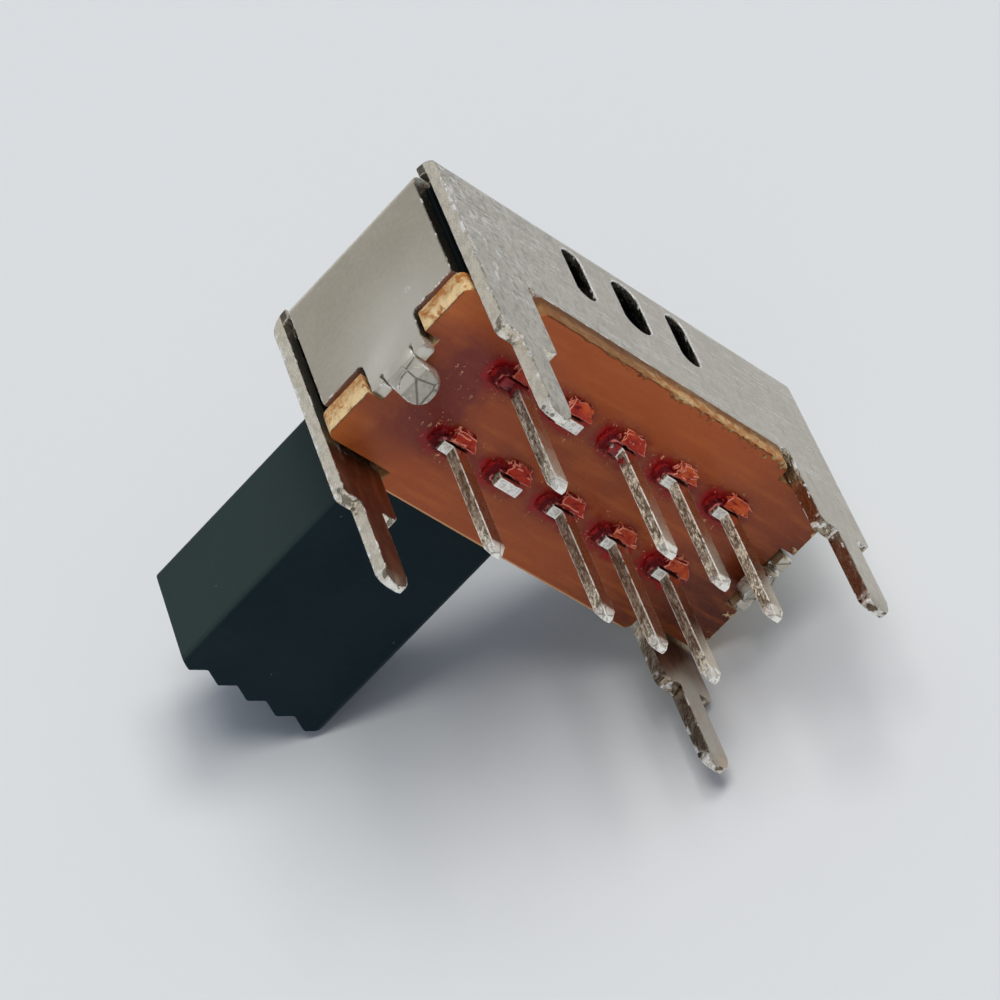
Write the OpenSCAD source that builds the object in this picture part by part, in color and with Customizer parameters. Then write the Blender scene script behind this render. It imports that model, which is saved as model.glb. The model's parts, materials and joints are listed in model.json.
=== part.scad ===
// Side-actuated slide switch, two poles and three positions, for soldering to a circuit board.
// X runs along the slide, -Y is the side of the knob and Z = 0 is the circuit board's surface.

/* [Shell] */
// Length of the steel shell over its end plates
shell_l = 17.4; // [16.6:0.1:19]
// Depth of the shell over its front and rear plates
shell_w = 8.2; // [7.8:0.1:9.4]
// Height of the shell's top above the circuit board
shell_h = 9.7; // [9.4:0.1:11]
// Thickness of the shell's sheet
sheet_t = 0.5; // [0.35:0.05:0.6]
// Inside radius of the shell's folds
fold_r = 0.2; // [0.1:0.05:0.4]
// How far the front and rear plates stop short of the end plates' faces
plate_setback = 0.15; // [0:0.01:0.2]
// Gap between an end plate and the plates beside it
corner_gap = 0.45; // [0.2:0.05:0.8]
// Width of the relief slits in the top at the four corners
corner_slit = 0.15; // [0.1:0.05:0.3]

/* [Tabs and legs] */
// Width of the four corner tabs that stand on the circuit board
tab_w = 2.35; // [1.8:0.05:2.6]
// Radius of the tabs' lower corners
tab_r = 0.25; // [0.05:0.05:0.4]
// Width of the solder legs
leg_w = 0.95; // [0.7:0.05:1.2]
// Length of the solder legs below the circuit board's surface
leg_l = 3.9; // [3:0.1:6]
// Corner radius of the legs' tips
leg_tip_r = 0.4; // [0.1:0.05:0.45]
// Depth of the coined bevel on each face of a leg's tip
leg_bevel = 0.13; // [0.05:0.01:0.15]
// Length of that bevel
leg_bevel_l = 0.6; // [0.3:0.05:1]
// Radius of the corner reliefs between the plates' lower edges and the tabs
relief_r = 0.14; // [0.08:0.02:0.2]

/* [End tongues] */
// Width of the tongue at the middle of each end plate
tongue_w = 2.5; // [2:0.1:3]
// Radius of the fillets beside the tongues
tongue_fillet = 0.25; // [0.1:0.05:0.6]
// Gap between an end plate's lower edge and the terminal board
end_gap = 0.3; // [0.1:0.05:0.5]
// Width of the claw that is bent under the terminal board
claw_w = 1.3; // [0.8:0.05:1.4]
// Straight length of the claw past its bend
claw_l = 0.95; // [0.5:0.05:1.2]
// Angle that the claw is bent through
claw_angle = 60; // [40:5:80]
// Inside radius of the claw's bend
claw_r = 0.35; // [0.25:0.05:0.5]
// Gap between the claw and the ear on each side of it
ear_gap = 0.1; // [0.05:0.01:0.15]
// How far the ears reach below the terminal board
ear_l = 0.25; // [0.1:0.05:0.8]

/* [Terminal board] */
// Height of the terminal board's underside above the circuit board
board_lift = 2.7; // [2:0.1:3]
// Thickness of the terminal board
board_t = 1.0; // [0.8:0.05:1.2]
// Gap between the terminal board and the insides of the tabs
board_gap = 0.15; // [0.05:0.05:0.3]
// Gap round each tongue in its notch
notch_gap = 0.15; // [0.05:0.05:0.25]
// Gap between the tabs' edges and the wide middle of the terminal board
tab_gap = 0.35; // [0.15:0.05:0.6]
// Radius of the terminal board's corners
board_r = 0.35; // [0.1:0.05:0.5]

/* [Terminals] */
// Distance between neighbouring terminal places, which is also one step of the slide
pitch = 2.5; // [2.2:0.05:2.6]
// Distance between the two rows of terminals
row_spacing = 3.0; // [2.8:0.05:3.3]
// Width of the terminal strip where it passes through the terminal board
strip_w = 1.0; // [0.8:0.05:1.2]
// Thickness of the terminal strip
strip_t = 0.4; // [0.25:0.05:0.5]
// Play round a terminal in its slot, all round
slot_play = 0.03; // [0.01:0.01:0.08]
// How far the shoulders stand below the terminal board
strip_drop = 0.5; // [0.25:0.05:0.7]
// How far the cut-off tails stand below the terminal board
cut_drop = 0.7; // [0.25:0.05:0.9]
// Width of the solder pins
pin_w = 0.6; // [0.4:0.05:0.7]
// How far the pins stand off the middle of their strips, towards -X
pin_offset = 0.2; // [0:0.05:0.25]
// Length of the solder pins below the circuit board's surface
pin_l = 3.1; // [2:0.1:4.5]
// Length of the taper at a pin's tip
pin_taper = 0.4; // [0.2:0.05:0.8]
// Width of a terminal's blade above the terminal board
blade_w = 1.4; // [1.2:0.05:1.5]
// Height of the blades above the terminal board
blade_h = 1.7; // [1.4:0.05:1.8]
// Chamfer on the blades' upper corners
blade_chamfer = 0.12; // [0.05:0.01:0.15]

/* [Terminal seals] */
// Width of the ring of varnish round each terminal
seal_rim = 0.38; // [0.2:0.02:0.45]
// Height of that ring
seal_t = 0.22; // [0.1:0.02:0.3]
// How far the ring has crept towards the rear, away from the middle of its terminal
seal_creep = 0.1; // [0:0.02:0.12]

/* [Slider] */
// Position that the slider is drawn in
station = 1; // [-1:1:1]
// Running gap between the slider and the shell or the terminal board
run_gap = 0.1; // [0.05:0.01:0.15]
// Gap left between the slider and an end plate at the end of the slide
end_play = 0.1; // [0.05:0.05:0.4]
// Chamfer on the slider's ends
slider_chamfer = 0.3; // [0.1:0.05:0.5]
// Width of the two channels that straddle the terminals
channel_w = 1.8; // [1.7:0.05:2]
// Height of the channels' ceilings above the terminal board
channel_h = 2.3; // [2.2:0.05:2.5]
// Depth of the two grooves in the slider's top
groove_t = 0.3; // [0.1:0.05:0.4]

/* [Knob] */
// Width of the knob along the slide
knob_w = 6.3; // [5:0.1:6.5]
// Height of the knob
knob_h = 4.8; // [4:0.1:4.9]
// How far the knob stands out of the shell
knob_l = 9.9; // [4:0.1:12]
// Radius of the knob's long edges
knob_r = 0.3; // [0.1:0.05:0.8]
// Gap between the knob and its window in the shell
window_gap = 0.12; // [0.08:0.02:0.16]
// Number of ribs across the knob's tip
ribs = 5; // [3:1:8]
// Depth of the ribs
rib_depth = 0.34; // [0.15:0.01:0.5]
// Share of a rib that is its long slope
rib_slope = 0.56; // [0.5:0.02:0.8]
// Radius of the ribs' crests
rib_r = 0.12; // [0.05:0.01:0.2]
// Distance from the knob's +X side to its first crest
rib_start = 0.45; // [0.2:0.05:0.6]

/* [Contact clips] */
// Thickness of the clips' sheet
clip_t = 0.15; // [0.1:0.01:0.2]
// Gap between a clip and the sides of its channel
clip_gap = 0.05; // [0.02:0.01:0.08]
// Length of each pair of jaws
jaw_l = 1.1; // [0.8:0.05:1.4]
// Gap between a jaw and the terminal's face
jaw_gap = 0.03; // [0.01:0.01:0.05]
// Height of the clips' side walls
clip_wall = 0.5; // [0.4:0.05:0.7]
// Height above the terminal board at which the jaws grip
grip_h = 0.95; // [0.8:0.05:1.1]
// Height above the terminal board at which the jaws end
flare_h = 0.4; // [0.3:0.05:0.6]
// How far the jaws flare out below the grip
flare = 0.3; // [0.15:0.05:0.35]

/* [Detent] */
// Diameter of the detent ball
ball_d = 2.0; // [1.6:0.1:2.2]
// Gap between the ball and the rear plate when the ball is pushed in
ball_gap = 0.02; // [0.01:0.01:0.05]
// Gap round the ball in its bore
bore_gap = 0.05; // [0.03:0.01:0.1]
// Depth of the bore that holds the ball and its spring
bore_l = 4.6; // [4:0.1:5.5]
// Wall between the bore and the channel below it
bore_wall = 0.35; // [0.2:0.05:0.5]
// Width of the two outer detent slots
slot_w = 0.9; // [0.7:0.05:1]
// Width of the middle detent slot
middle_slot_w = 1.25; // [1:0.05:1.4]
// Height of the detent slots
slot_h = 2.8; // [2:0.1:2.9]
// Diameter of the spring's wire
wire_d = 0.2; // [0.15:0.01:0.25]
// Outside diameter of the spring's coils
coil_d = 1.6; // [1.3:0.05:1.7]
// Number of turns in the spring
turns = 6; // [4:1:8]

/* [Hidden] */
$fn = 32;
SLACK = 1;
ROWS = ["front", "rear"];
PLACES = [1, 2, 3, 4, 5];
MIDDLE_PLACE = 3;
SINGLE_PLACES = [1, 4, 5];
CUT_PLACE = 2;
COMMON_PLACE = 3;
STATIONS = [-1, 0, 1];
HALF_TURN = 180;

function row_y(row) = (row == "front" ? -1 : 1) * row_spacing / 2;
function place_x(place) = (MIDDLE_PLACE - place) * pitch;

board_top = board_lift + board_t;
shell_ceiling = shell_h - sheet_t;
fold_outer = fold_r + sheet_t;
plate_l = shell_l - 2 * plate_setback;
inside_w = shell_w - 2 * sheet_t;
inside_l = shell_l - 2 * sheet_t;
end_plate_w = inside_w - 2 * corner_gap;
tab_inner_x = plate_l / 2 - tab_w;
leg_x = plate_l / 2 - tab_w / 2;
slider_x = station * pitch;
slider_l = inside_l - 2 * (pitch + end_play);
slider_w = inside_w - 2 * run_gap;
slider_foot = board_top + run_gap;
slider_top = shell_ceiling - run_gap;
channel_top = board_top + channel_h;
knob_z = (board_top + shell_ceiling) / 2;
bore_r = ball_d / 2 + bore_gap;
detent_z = channel_top + bore_wall + bore_r;
ball_y = inside_w / 2 - ball_gap - ball_d / 2;
bore_floor_y = slider_w / 2 - bore_l;
knob_root = slider_chamfer - slider_w / 2;
coil_r = (coil_d - wire_d) / 2;

// Runs a drawing made in the YZ plane along X, centred
module along_x(length) {
    rotate([90, 0, 90]) linear_extrude(length, center = true) children();
}

// Runs a drawing made in the XZ plane along Y, centred
module along_y(length) {
    rotate([90, 0, 0]) linear_extrude(length, center = true) children();
}

// Draws its children on both sides of the YZ or the XZ plane
module both_ends() {
    children();
    mirror([1, 0, 0]) children();
}

module both_sides() {
    children();
    mirror([0, 1, 0]) children();
}

// Rectangle from foot to top, centred on X, whose two upper corners are round
module arch(span, foot, top, radius) {
    r = min(radius, span / 2 - 0.01);
    translate([-span / 2, foot]) square([span, top - r - foot]);
    translate([-span / 2 + r, foot]) square([span - 2 * r, top - foot]);
    for (side = [-1, 1]) translate([side * (span / 2 - r), top - r]) circle(r);
}

// The same with its round corners below
module hanging_arch(span, foot, top, radius) {
    mirror([0, 1]) arch(span, -top, -foot, radius);
}

// Rectangle centred on the origin with four round corners
module round_rect(length, width, radius) {
    square([length - 2 * radius, width], center = true);
    square([length, width - 2 * radius], center = true);
    for (x = [-1, 1], y = [-1, 1])
        translate([x * (length / 2 - radius), y * (width / 2 - radius)]) circle(radius);
}

// Upright slot with round ends, centred on the origin
module slot_outline(width, height) {
    square([width, height - width], center = true);
    for (side = [-1, 1]) translate([0, side * (height - width) / 2]) circle(width / 2);
}

// Section of sheet folded down at both ends of a span
module folded_section(span, foot) {
    difference() {
        arch(span, foot, shell_h, fold_outer);
        arch(span - 2 * sheet_t, foot - SLACK, shell_ceiling, fold_r);
    }
}

// Cut outline of the front and rear plates, with their tabs and legs
module plate_outline() {
    difference() {
        union() {
            translate([-plate_l / 2, board_top]) square([plate_l, shell_h - board_top]);
            for (side = [-1, 1]) translate([side * leg_x, 0]) {
                hanging_arch(tab_w, 0, board_top + SLACK, tab_r);
                hanging_arch(leg_w, -leg_l, tab_r + SLACK, leg_tip_r);
            }
        }
        for (side = [-1, 1]) translate([side * (tab_inner_x - relief_r), board_top]) circle(relief_r);
    }
}

// Wedges that bevel the outer and inner faces of the leg tips
module leg_bevels() {
    for (face = [shell_w / 2, inside_w / 2]) {
        out = face == shell_w / 2 ? 1 : -1;
        along_x(shell_l) polygon([
            [face, -leg_l + leg_bevel_l],
            [face - out * leg_bevel, -leg_l],
            [face - out * leg_bevel, -leg_l - SLACK],
            [face + out * sheet_t, -leg_l - SLACK],
            [face + out * sheet_t, -leg_l + leg_bevel_l]
        ]);
    }
}

module detent_slots() {
    for (step = STATIONS) translate([step * pitch, shell_w / 2, detent_z])
        along_y(4 * sheet_t) slot_outline(step == 0 ? middle_slot_w : slot_w, slot_h);
}

// Window in the front plate, open towards the terminal board
module knob_window() {
    half = knob_w / 2 + pitch + window_gap;
    top = knob_z + knob_h / 2 + window_gap;
    translate([0, -shell_w / 2, 0]) along_y(2 * (sheet_t + fold_r))
        arch(2 * half, board_top - SLACK, top, knob_r);
}

module folded_sides() {
    difference() {
        intersection() {
            along_x(plate_l) folded_section(shell_w, -leg_l - SLACK);
            along_y(shell_w + SLACK) plate_outline();
        }
        both_sides() leg_bevels();
        detent_slots();
        knob_window();
        both_ends() translate([shell_l / 2 - fold_outer, -end_plate_w / 2 - corner_slit, shell_ceiling - SLACK])
            cube([fold_outer + SLACK, end_plate_w + 2 * corner_slit, sheet_t + 2 * SLACK]);
    }
}

// Cut outline of an end plate, with its tongue and ears
module end_outline() {
    edge = board_top + end_gap;
    translate([-end_plate_w / 2, edge]) square([end_plate_w, shell_h - edge + SLACK]);
    difference() {
        hanging_arch(tongue_w, board_lift - ear_l, edge + SLACK, tab_r / 2);
        hanging_arch(claw_w + 2 * ear_gap, board_lift - ear_l - SLACK, board_lift + ear_gap, 0.01);
    }
    for (side = [-1, 1]) difference() {
        translate([side * (tongue_w + tongue_fillet) / 2, edge - tongue_fillet / 2])
            square(tongue_fillet, center = true);
        translate([side * (tongue_w / 2 + tongue_fillet), edge - tongue_fillet]) circle(tongue_fillet);
    }
}

// Claw at the +X end, bent inwards under the terminal board
module claw() {
    translate([inside_l / 2 - claw_r, 0, board_lift + ear_gap]) {
        rotate([-90, 0, 0]) rotate_extrude(angle = claw_angle)
            translate([claw_r, -claw_w / 2]) square([sheet_t, claw_w]);
        rotate([0, claw_angle, 0]) translate([claw_r + sheet_t / 2, 0, 0])
            along_x(sheet_t) hanging_arch(claw_w, -claw_l, 0, claw_w / 2 - 0.05);
    }
}

module metal_frame() {
    color("silver") {
        folded_sides();
        intersection() {
            along_y(end_plate_w) folded_section(shell_l, 0);
            along_x(shell_l + SLACK) end_outline();
        }
        both_ends() claw();
    }
}

module terminal_board() {
    notch_l = sheet_t + notch_gap;
    color("sienna") translate([0, 0, board_lift]) linear_extrude(board_t) difference() {
        union() {
            round_rect(2 * (tab_inner_x - tab_gap), shell_w, board_r);
            round_rect(shell_l, inside_w - 2 * board_gap, board_r);
        }
        for (side = [-1, 1]) translate([side * (shell_l / 2 - notch_l / 2 + SLACK / 2), 0])
            square([notch_l + SLACK, tongue_w + 2 * notch_gap], center = true);
        for (row = ROWS, place = PLACES) translate([place_x(place), row_y(row)])
            square([strip_w + 2 * slot_play, strip_t + 2 * slot_play], center = true);
    }
}

// Long tail of a terminal, seen from the front: strip, shoulders and tapered pin
module long_tail() {
    shoulder = board_lift - strip_drop;
    translate([-strip_w / 2, shoulder]) square([strip_w, board_top - shoulder]);
    translate([-pin_offset, 0]) polygon([
        [-pin_w / 2, shoulder + strip_w / 4], [-pin_w / 2, pin_taper - pin_l], [-pin_w / 4, -pin_l],
        [pin_w / 4, -pin_l], [pin_w / 2, pin_taper - pin_l], [pin_w / 2, shoulder + strip_w / 4]
    ]);
}

// Tail that was cut off just below the terminal board
module cut_tail() {
    foot = board_lift - cut_drop;
    translate([-strip_w / 2, foot]) square([strip_w, board_top - foot]);
}

// Blade between two places, seen from the front
module blade(from_x, to_x) {
    left = from_x - blade_w / 2;
    right = to_x + blade_w / 2;
    top = board_top + blade_h;
    polygon([
        [left, board_top], [right, board_top],
        [right, top - blade_chamfer], [right - blade_chamfer, top],
        [left + blade_chamfer, top], [left, top - blade_chamfer]
    ]);
}

// Side view that every terminal shares: bevelled top edge and tapered tip
module terminal_side() {
    top = board_top + blade_h;
    polygon([
        [-strip_t / 2, pin_taper - pin_l], [-strip_t / 4, -pin_l],
        [strip_t / 4, -pin_l], [strip_t / 2, pin_taper - pin_l],
        [strip_t / 2, top - blade_chamfer], [strip_t / 4, top],
        [-strip_t / 4, top], [-strip_t / 2, top - blade_chamfer]
    ]);
}

module terminal_stock(y, length) {
    color("gainsboro") translate([0, y, 0]) intersection() {
        along_y(strip_t) children();
        along_x(length) terminal_side();
    }
}

module single_terminal(row, place) {
    terminal_stock(row_y(row), shell_l) {
        translate([place_x(place), 0]) {
            long_tail();
            blade(0, 0);
        }
    }
}

// One blade across two places, with one long tail and one that is cut off
module common_terminal(row) {
    terminal_stock(row_y(row), shell_l) {
        blade(place_x(COMMON_PLACE), place_x(CUT_PLACE));
        translate([place_x(COMMON_PLACE), 0]) long_tail();
        translate([place_x(CUT_PLACE), 0]) cut_tail();
    }
}

// Sloping ring of varnish under the terminal board, round one terminal
module terminal_seal(row, place) {
    straight = strip_w - strip_t;
    top_r = strip_t / 2 + seal_rim;
    foot_r = strip_t / 2 + seal_rim / 3;
    color("firebrick") translate([place_x(place), row_y(row), board_lift - seal_t]) difference() {
        translate([0, seal_creep, 0]) union() {
            for (side = [-1, 1]) translate([side * straight / 2, 0, 0])
                cylinder(h = seal_t, r1 = foot_r, r2 = top_r);
            along_x(straight) polygon([
                [-foot_r, 0], [foot_r, 0], [top_r, seal_t], [-top_r, seal_t]
            ]);
        }
        cube([strip_w + 2 * slot_play, strip_t + 2 * slot_play, 2 * seal_t + SLACK], center = true);
    }
}

// Outline of the knob seen from above, with a row of sawtooth ribs across its tip
module knob_plan() {
    rib = (knob_w - rib_start) / (ribs - rib_slope);
    crest = -shell_w / 2 - knob_l;
    root = crest + rib_depth;
    fall = rib * (1 - rib_slope);
    first_side = crest + rib_depth * rib_start / (rib * rib_slope);
    difference() {
        polygon(concat(
            [[0, knob_root], [0, first_side]],
            [for (i = [0:ribs - 1], point = [[0, crest], [fall, root]])
                [-rib_start - i * rib - point[0], point[1]]],
            [[-knob_w, knob_root]]
        ));
        for (i = [0:ribs - 1]) translate([-rib_start - i * rib, crest])
            crest_round(atan(rib_depth / (rib * rib_slope)), atan(rib_depth / fall));
    }
}

// What a rounded crest lacks of a sharp one that stands on the origin
module crest_round(near_slope, far_slope) {
    half = (HALF_TURN - near_slope - far_slope) / 2;
    reach = rib_r / tan(half);
    middle = near_slope + half;
    centre = rib_r / sin(half) * [cos(middle), sin(middle)];
    difference() {
        polygon([
            [0, -rib_r], reach * [cos(near_slope), sin(near_slope)],
            centre, reach * [-cos(far_slope), sin(far_slope)]
        ]);
        translate(centre) circle(rib_r);
    }
}

module knob() {
    intersection() {
        translate([knob_w / 2, 0, knob_z - knob_h]) linear_extrude(2 * knob_h) knob_plan();
        translate([0, -shell_w / 2, knob_z]) along_y(4 * knob_l) round_rect(knob_w, knob_h, knob_r);
    }
}

module carriage() {
    difference() {
        translate([0, 0, slider_foot]) linear_extrude(slider_top - slider_foot) polygon([
            for (x = [-1, 1], y = [-x, x], end = y == -x ? [0, 1] : [1, 0]) [
                x * (slider_l / 2 - (end == 0 ? slider_chamfer : 0)),
                y * (slider_w / 2 - (end == 0 ? 0 : slider_chamfer))
            ]
        ]);
        for (row = ROWS) translate([0, row_y(row), 0]) {
            along_x(slider_l + SLACK) hanging_arch(channel_w, slider_foot - SLACK, channel_top, 0.01);
            translate([0, 0, slider_top]) cube([slider_l + SLACK, channel_w, 2 * groove_t], center = true);
        }
        translate([0, bore_floor_y, detent_z]) rotate([-90, 0, 0]) cylinder(h = bore_l + SLACK, r = bore_r);
    }
}

module slider() {
    color("darkslategray") translate([slider_x, 0, 0]) {
        carriage();
        knob();
    }
}

// Centre line of one side of a clip's jaws, from its wall down to its flared end
jaw_line = [
    [channel_w / 2 - clip_gap - clip_t / 2, channel_top],
    [channel_w / 2 - clip_gap - clip_t / 2, channel_top - clip_wall],
    [strip_t / 2 + jaw_gap + clip_t / 2, board_top + grip_h],
    [strip_t / 2 + jaw_gap + clip_t / 2 + flare, board_top + flare_h]
];

function unit(v) = v / norm(v);
function normal(a, b) = let (d = unit(b - a)) [d[1], -d[0]];
function corner_normal(line, i) =
    let (before = i == 0 ? normal(line[0], line[1]) : normal(line[i - 1], line[i]))
    let (after = i == len(line) - 1 ? before : normal(line[i], line[i + 1]))
    (before + after) / (1 + before * after);

// Strip of even thickness along a line of points
module ribbon(line, thickness) {
    last = len(line) - 1;
    polygon(concat(
        [for (i = [0:last]) line[i] + corner_normal(line, i) * thickness / 2],
        [for (i = [last:-1:0]) line[i] - corner_normal(line, i) * thickness / 2]
    ));
}

module contact_clip(row) {
    width = channel_w - 2 * clip_gap;
    color("goldenrod") translate([slider_x, row_y(row), 0]) {
        along_x(2 * pitch + jaw_l) {
            translate([-width / 2, channel_top - clip_t]) square([width, clip_t]);
            for (side = [0, 1]) mirror([side, 0]) translate([width / 2 - clip_t, channel_top - clip_wall])
                square([clip_t, clip_wall]);
        }
        both_ends() translate([pitch, 0, 0]) both_sides() along_x(jaw_l) ribbon(jaw_line, clip_t);
    }
}

module detent_ball() {
    color("lightgray") translate([slider_x, ball_y, detent_z]) sphere(d = ball_d);
}

// The spring's wire runs from the bore's floor to the ring where it meets the ball
spring_start = bore_floor_y + wire_d / 2;
ball_reach = ball_d / 2 + wire_d / 2 + ball_gap;
spring_end = ball_y - sqrt(max(0, pow(ball_reach, 2) - pow(coil_r, 2)));
WIRE_SIDES = 6;
TURN_STEPS = 16;

// Height of the wire along its length: closed end turns with open turns between them
function spring_rise(t) =
    let (closed = 1 / turns, pack = wire_d / (spring_end - spring_start) * 1.1)
    t < closed ? pack * t / closed
    : t > 1 - closed ? 1 - pack * (1 - t) / closed
    : pack + (1 - 2 * pack) * (t - closed) / (1 - 2 * closed);
function spring_ring(t) =
    let (a = 360 * turns * t, out = [cos(a), 0, sin(a)])
    let (middle = coil_r * out + [0, spring_start + (spring_end - spring_start) * spring_rise(t), 0])
    [for (k = [0:WIRE_SIDES - 1])
        let (b = 360 * k / WIRE_SIDES)
        middle + wire_d / 2 * (cos(b) * out + sin(b) * [0, 1, 0])];

module detent_spring() {
    rings = turns * TURN_STEPS;
    n = WIRE_SIDES;
    side_faces = [for (i = [0:rings - 1], k = [0:n - 1], half = [0, 1])
        let (a = i * n + k, b = i * n + (k + 1) % n)
        half == 0 ? [a, a + n, b + n] : [a, b + n, b]];
    caps = [[for (k = [0:n - 1]) k], [for (k = [n - 1:-1:0]) rings * n + k]];
    color("dimgray") translate([slider_x, 0, detent_z])
        polyhedron([for (i = [0:rings]) each spring_ring(i / rings)], concat(side_faces, caps));
}

metal_frame();
terminal_board();
slider();
detent_ball();
detent_spring();
for (row = ROWS) {
    contact_clip(row);
    common_terminal(row);
    for (place = SINGLE_PLACES)
        single_terminal(row, place);
    for (place = PLACES)
        terminal_seal(row, place);
}
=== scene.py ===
"""Looks of a side-actuated slide switch, built around its fixed frame."""

import json
import math
from contextlib import contextmanager
from types import SimpleNamespace

import bmesh
import bpy
from bpy.props import FloatProperty, FloatVectorProperty, PointerProperty
from mathutils import Matrix, Vector


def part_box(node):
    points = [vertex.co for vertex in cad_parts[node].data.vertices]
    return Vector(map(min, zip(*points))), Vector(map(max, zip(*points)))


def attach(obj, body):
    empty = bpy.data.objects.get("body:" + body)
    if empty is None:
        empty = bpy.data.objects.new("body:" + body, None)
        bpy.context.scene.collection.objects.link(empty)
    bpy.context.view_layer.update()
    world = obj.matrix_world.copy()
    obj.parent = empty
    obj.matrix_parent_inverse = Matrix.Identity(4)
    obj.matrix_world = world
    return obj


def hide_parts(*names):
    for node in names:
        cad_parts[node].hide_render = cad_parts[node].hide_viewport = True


bl_info = {
    "name": "Slide Switch",
    "version": (1, 0, 0),
    "blender": (4, 5, 0),
    "location": "View3D > Sidebar > Slide Switch",
    "description": "Dresses a side-actuated slide switch: shell, board, terminals, varnish and slider",
    "category": "Object",
}

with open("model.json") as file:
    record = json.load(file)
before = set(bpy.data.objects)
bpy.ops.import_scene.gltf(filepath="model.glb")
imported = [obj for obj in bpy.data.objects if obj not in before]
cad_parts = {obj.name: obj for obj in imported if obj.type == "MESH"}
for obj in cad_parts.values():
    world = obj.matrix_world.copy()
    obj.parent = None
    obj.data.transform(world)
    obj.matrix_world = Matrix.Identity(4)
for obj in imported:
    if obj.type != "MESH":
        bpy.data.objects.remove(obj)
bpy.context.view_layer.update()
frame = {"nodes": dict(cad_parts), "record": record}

MM = 0.001
BODIES = frame["record"]["behaviour"]["bodies"]
ROWS = ("front", "rear")
PLACES = (1, 2, 3, 4, 5)
TERMINALS = [node for node in frame["nodes"] if "terminal_" in node and node != "terminal_board"]
TERMINALS += [f"{row}_common_terminal" for row in ROWS]

# Sizes in millimetres. All but the sheet's thickness and the ring are read from the frame
SHELL_HIGH = Vector(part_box("metal_frame")[1]) / MM
BOARD_LOW, BOARD_HIGH = (Vector(corner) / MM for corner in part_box("terminal_board"))
PITCH = (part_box("rear_seal_2")[0][0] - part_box("rear_seal_3")[0][0]) / MM
ROW_Y = (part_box("rear_terminal_1")[0][1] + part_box("rear_terminal_1")[1][1]) / 2 / MM
SHEET = 0.5
RING_Y, RING_Z, RING_RADIUS = 1.39, 5.06, 0.1


def srgb(red, green, blue):
    """Linear colour of a paint-chip value from 0 to 255."""
    def linear(value):
        value /= 255
        return value / 12.92 if value <= 0.04045 else ((value + 0.055) / 1.055) ** 2.4
    return (linear(red), linear(green), linear(blue), 1.0)


PALE_NICKEL = srgb(244, 242, 238)
# The white of painted highlights on steel
BRIGHT_STEEL = srgb(250, 249, 245)


def colour(name, description, default):
    return FloatVectorProperty(
        name=name, description=description, default=default, subtype="COLOR", size=4, min=0, max=1
    )


def length(name, description, default_mm):
    return FloatProperty(
        name=name, description=description, default=default_mm * MM, unit="LENGTH", min=0, precision=5
    )


def factor(name, description, default):
    return FloatProperty(
        name=name, description=description, default=default, subtype="FACTOR", min=0, max=1
    )


class ShellSettings(bpy.types.PropertyGroup):
    nickel: colour("Nickel", "Colour of the nickel plate", srgb(232, 222, 204))
    nickel_dull: colour("Dull nickel", "Colour of the plate where it is dull", srgb(198, 187, 168))
    sheared: colour("Sheared edge", "Colour of the sheet's cut edges", srgb(238, 229, 210))
    roughness: factor("Roughness", "Roughness of the plate", 0.34)
    edge_radius: length("Edge radius", "Radius worn on the sheet's edges", 0.045)


class BoardSettings(bpy.types.PropertyGroup):
    resin: colour("Resin", "Colour of the board's glossy faces", srgb(176, 84, 36))
    resin_dark: colour("Dark resin", "Colour of the board's darker patches", srgb(136, 60, 36))
    paper: colour("Paper", "Colour of the fibres in the board's cut edges", srgb(214, 178, 126))
    stain: colour("Stain", "Colour of varnish that has crept over the board", srgb(112, 26, 26))


class TerminalSettings(bpy.types.PropertyGroup):
    tin: colour("Tin", "Colour of the terminals' rolled faces", srgb(206, 190, 166))
    tin_dull: colour("Dull tin", "Colour of the tin in its pits", srgb(172, 160, 142))
    edge_radius: length("Edge radius", "Radius on the terminals' edges", 0.035)


class VarnishSettings(bpy.types.PropertyGroup):
    thick: colour("Thick varnish", "Colour of the varnish where it is thick", srgb(164, 26, 26))
    thin: colour("Thin varnish", "Colour of the varnish where it is thin", srgb(216, 94, 44))


class SliderSettings(bpy.types.PropertyGroup):
    plastic: colour("Plastic", "Colour of the slider's plastic", srgb(20, 36, 41))
    roughness: factor("Roughness", "Roughness of the moulded surface", 0.45)
    edge_radius: length("Edge radius", "Radius on the moulding's edges", 0.06)


class StageSettings(bpy.types.PropertyGroup):
    floor: colour("Floor", "Colour of the floor and of the backdrop", srgb(215, 218, 219))
    sky: colour("Sky", "Colour of the light from all round", srgb(214, 225, 246))
    sky_glint: colour("Sky glint", "Colour of the sky where metal shows it", srgb(234, 236, 237))


class SwitchSettings(bpy.types.PropertyGroup):
    shell: PointerProperty(type=ShellSettings)
    board: PointerProperty(type=BoardSettings)
    terminals: PointerProperty(type=TerminalSettings)
    varnish: PointerProperty(type=VarnishSettings)
    slider: PointerProperty(type=SliderSettings)
    stage: PointerProperty(type=StageSettings)


# Node helpers


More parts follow.
